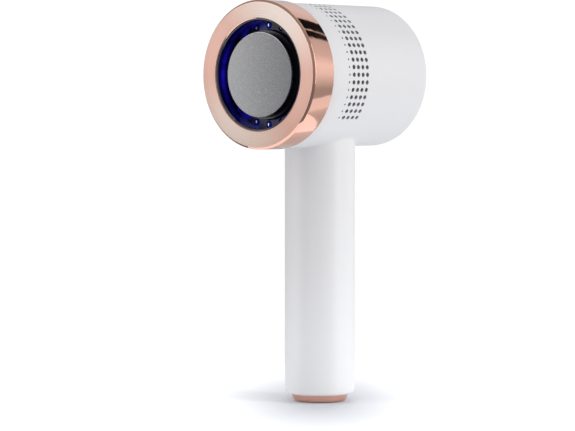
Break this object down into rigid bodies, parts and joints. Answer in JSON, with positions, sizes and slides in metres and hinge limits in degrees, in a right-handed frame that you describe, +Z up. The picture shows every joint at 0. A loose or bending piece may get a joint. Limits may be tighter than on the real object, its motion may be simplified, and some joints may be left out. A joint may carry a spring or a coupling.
{
  "type": "cordless callus remover",
  "caption": "Cordless foot-care callus remover: hair-dryer-shaped body with a spinning domed abrasive disc in a lit suction ring, on an upright tubular handle.",
  "frame": {"origin": "centre of the foot pad's underside, on the handle's axis", "axes": "+Z up along the handle; the head's axis runs along Y and its abrasive disc faces -Y; the power button faces +Y"},
  "size_m": [0.0744, 0.0938, 0.2038],
  "materials": {
    "white_shell": "satin injection-moulded white shell",
    "rose_gold": "rose gold anodised, fine concentric grooves on the face, bright cut chamfer",
    "blue_tube": "dark blue glossy wall of the lit channel",
    "black_plastic": "black moulded plastic",
    "grey_plastic": "grey moulded plastic",
    "abrasive": "fine grey grit bonded to a domed skin",
    "acetal": "natural acetal gears",
    "steel": "plain turned or drawn steel",
    "black_oxide": "blackened steel screws, laminations and magnets",
    "rubber": "soft black rubber",
    "felt": "pressed felt",
    "foam": "open-cell filter foam",
    "lamp_lens": "blue lamp lens",
    "board": "solder-masked circuit board",
    "cell_wrap": "shrink wrap",
    "red_wire": "insulated wire",
    "black_wire": "insulated wire"
  },
  "bodies": {
    "body": {"barrel_shell": "white_shell", "handle_shell": "white_shell", "front_chassis": "black_plastic", "base_foot": "rose_gold", "foot_pad": "rubber", "button_bezel": "rose_gold", "battery_cell": "cell_wrap", "control_board": "board", "tact_switch": "black_plastic", "charge_socket": "steel", "speed_indicator": "lamp_lens", "handle_frame": "grey_plastic", "frame_screw_1": "black_oxide", "frame_screw_2": "black_oxide", "foot_screw": "black_oxide", "led_board": "board", "led_top_1": "lamp_lens", "led_top_2": "lamp_lens", "led_top_3": "lamp_lens", "led_bottom_1": "lamp_lens", "led_bottom_2": "lamp_lens", "led_bottom_3": "lamp_lens", "spindle_seal": "felt", "spindle_bearing": "steel", "ring_gear": "acetal", "gearbox_backplate": "grey_plastic", "shaft_bushing": "steel", "fan_shroud": "grey_plastic", "fan_backplate": "grey_plastic", "tie_screw_1": "black_oxide", "tie_screw_2": "black_oxide", "tie_screw_3": "black_oxide", "motor_screw_1": "black_oxide", "motor_screw_2": "black_oxide", "motor_can": "steel", "motor_magnet_1": "black_oxide", "motor_magnet_2": "black_oxide", "motor_end_cap": "black_plastic", "motor_lead_red": "red_wire", "motor_lead_black": "black_wire"},
    "front_cup": {"front_ring": "rose_gold", "light_tube": "blue_tube", "dust_cup": "black_plastic", "cup_gasket": "rubber", "filter_frame": "grey_plastic", "filter_foam": "foam"},
    "rotor": {"motor_shaft": "steel", "rotor_core": "black_oxide", "fan_impeller": "black_plastic", "sun_gear": "acetal"},
    "carrier": {"planet_carrier": "acetal", "drive_spindle": "steel"},
    "planet_1": {"planet_gear_1": "acetal"},
    "planet_2": {"planet_gear_2": "acetal"},
    "planet_3": {"planet_gear_3": "acetal"},
    "disc": {"abrasive_pad": "abrasive", "disc_plate": "grey_plastic"},
    "button": {"power_button": "rose_gold"}
  },
  "joints": [
    {"name": "cup_pull", "type": "slide", "parent": "body", "child": "front_cup", "axis": [0, -1, 0], "range_m": [0, 0.04]},
    {"name": "motor_spin", "type": "hinge", "parent": "body", "child": "rotor", "pos_m": [0, 0.01, 0.1666], "axis": [0, 1, 0], "continuous": true},
    {"name": "carrier_spin", "type": "hinge", "parent": "body", "child": "carrier", "pos_m": [0, -0.038, 0.1666], "axis": [0, 1, 0], "continuous": true},
    {"name": "planet_spin_1", "type": "hinge", "parent": "carrier", "child": "planet_1", "pos_m": [0, -0.0306, 0.1786], "axis": [0, 1, 0], "continuous": true},
    {"name": "planet_spin_2", "type": "hinge", "parent": "carrier", "child": "planet_2", "pos_m": [-0.01039, -0.0306, 0.1606], "axis": [0, 1, 0], "continuous": true},
    {"name": "planet_spin_3", "type": "hinge", "parent": "carrier", "child": "planet_3", "pos_m": [0.01039, -0.0306, 0.1606], "axis": [0, 1, 0], "continuous": true},
    {"name": "disc_pull", "type": "slide", "parent": "carrier", "child": "disc", "axis": [0, -1, 0], "range_m": [0, 0.02]},
    {"name": "button_press", "type": "slide", "parent": "body", "child": "button", "axis": [0, -1, 0], "range_m": [0, 0.0006], "stiffness_N_per_m": 1000}
  ],
  "couplings": [
    {"joint": "carrier_spin", "follows": "motor_spin", "ratio": 0.25},
    {"joint": "planet_spin_1", "follows": "motor_spin", "ratio": -0.75},
    {"joint": "planet_spin_2", "follows": "motor_spin", "ratio": -0.75},
    {"joint": "planet_spin_3", "follows": "motor_spin", "ratio": -0.75}
  ]
}
